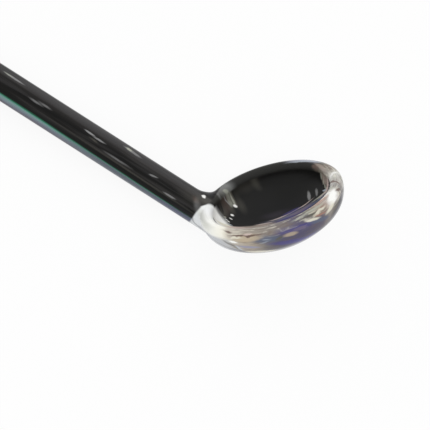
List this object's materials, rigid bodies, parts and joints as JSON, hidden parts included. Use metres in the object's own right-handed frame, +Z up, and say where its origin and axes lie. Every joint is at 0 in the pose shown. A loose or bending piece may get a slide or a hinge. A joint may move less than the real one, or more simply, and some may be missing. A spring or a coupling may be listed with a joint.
{
  "type": "glass stirring spoon",
  "caption": "Small glass stirring spoon: a straight solid round rod melted onto a shallow round bowl with a rounded lip.",
  "frame": {"origin": "middle of the spoon's bounding box, on the surface it rests on", "axes": "+X along the handle towards the bowl, +Z up from the surface, +Y towards the side that the bowl leans to"},
  "size_m": [0.165, 0.0254, 0.0229],
  "materials": {
    "glass": "polished, dark on the handle and in the bowl, clear and pale at the rim, neck and outer wall"
  },
  "bodies": {
    "root": {"spoon": "glass"}
  },
  "joints": []
}
